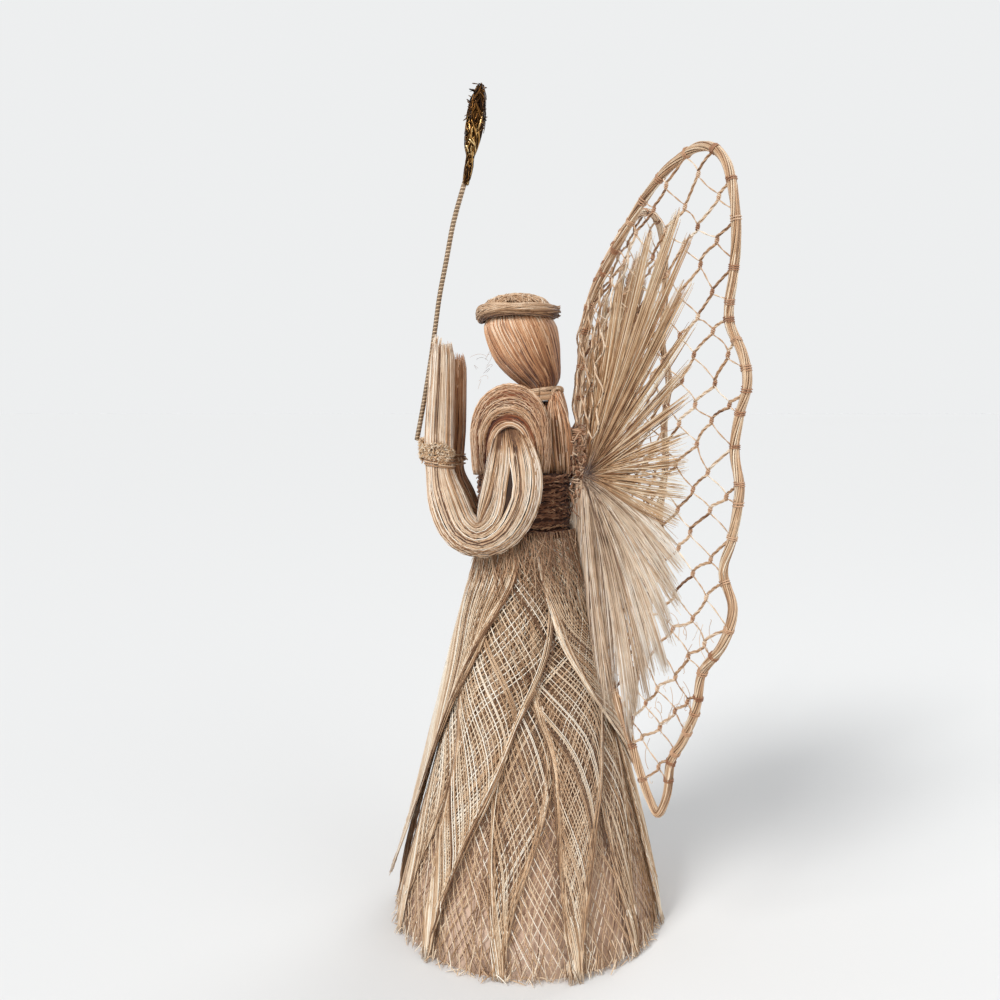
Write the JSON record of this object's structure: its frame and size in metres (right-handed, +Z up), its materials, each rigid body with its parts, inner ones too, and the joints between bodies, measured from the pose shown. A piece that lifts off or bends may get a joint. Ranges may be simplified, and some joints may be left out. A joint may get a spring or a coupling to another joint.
{
  "type": "straw angel tree topper",
  "caption": "Straw angel with a hollow cone skirt of leaf shaped net petals, raised arms holding a wand, a rope rimmed hat and netted wings.",
  "frame": {"origin": "floor level under the centre of the bounding box; the skirt's own axis is 6.05 mm in front of it, towards -Y", "axes": "+Z up, the angel faces -Y, its left side is +X"},
  "size_m": [0.1504, 0.1126, 0.3004],
  "materials": {
    "card": "plain pale card",
    "straw_net": "open woven straw net",
    "straw_pale": "pale natural fibre",
    "straw_tan": "tan natural fibre",
    "straw_brown": "brown natural fibre",
    "jute": "dark coarse twine",
    "thread": "pale knotted thread",
    "tinsel": "dark gold metallic thread",
    "glue": "dried glue with glitter"
  },
  "bodies": {
    "root": {"back_petal": "straw_pale", "card_cone": "card", "front_petal": "straw_pale", "hat_crown": "straw_pale", "hat_rim": "straw_brown", "head": "straw_tan", "inner_petal_1": "straw_net", "inner_petal_2": "straw_net", "inner_petal_3": "straw_net", "inner_petal_4": "straw_net", "inner_petal_5": "straw_net", "inner_petal_6": "straw_net", "left_arm": "straw_pale", "left_lower_fan": "straw_pale", "left_middle_fan": "straw_tan", "left_sleeve": "straw_tan", "left_upper_fan": "straw_tan", "left_wing_frame": "straw_tan", "left_wing_net": "thread", "left_wrist_tie": "thread", "lower_lashing": "thread", "middle_petal_1": "straw_net", "middle_petal_2": "straw_net", "middle_petal_3": "straw_net", "middle_petal_4": "straw_net", "middle_petal_5": "straw_net", "middle_petal_6": "straw_net", "neck_bundle": "straw_tan", "neck_tie": "thread", "net_underskirt": "straw_net", "right_arm": "straw_brown", "right_lower_fan": "straw_pale", "right_middle_fan": "straw_tan", "right_sleeve": "straw_tan", "right_upper_fan": "straw_tan", "right_wing_frame": "straw_tan", "right_wing_net": "thread", "right_wrist_tie": "thread", "tinsel_tuft": "tinsel", "torso_core": "straw_brown", "upper_lashing": "thread", "waist_wrap": "jute", "wand": "tinsel", "wrist_glue": "glue"}
  },
  "joints": []
}
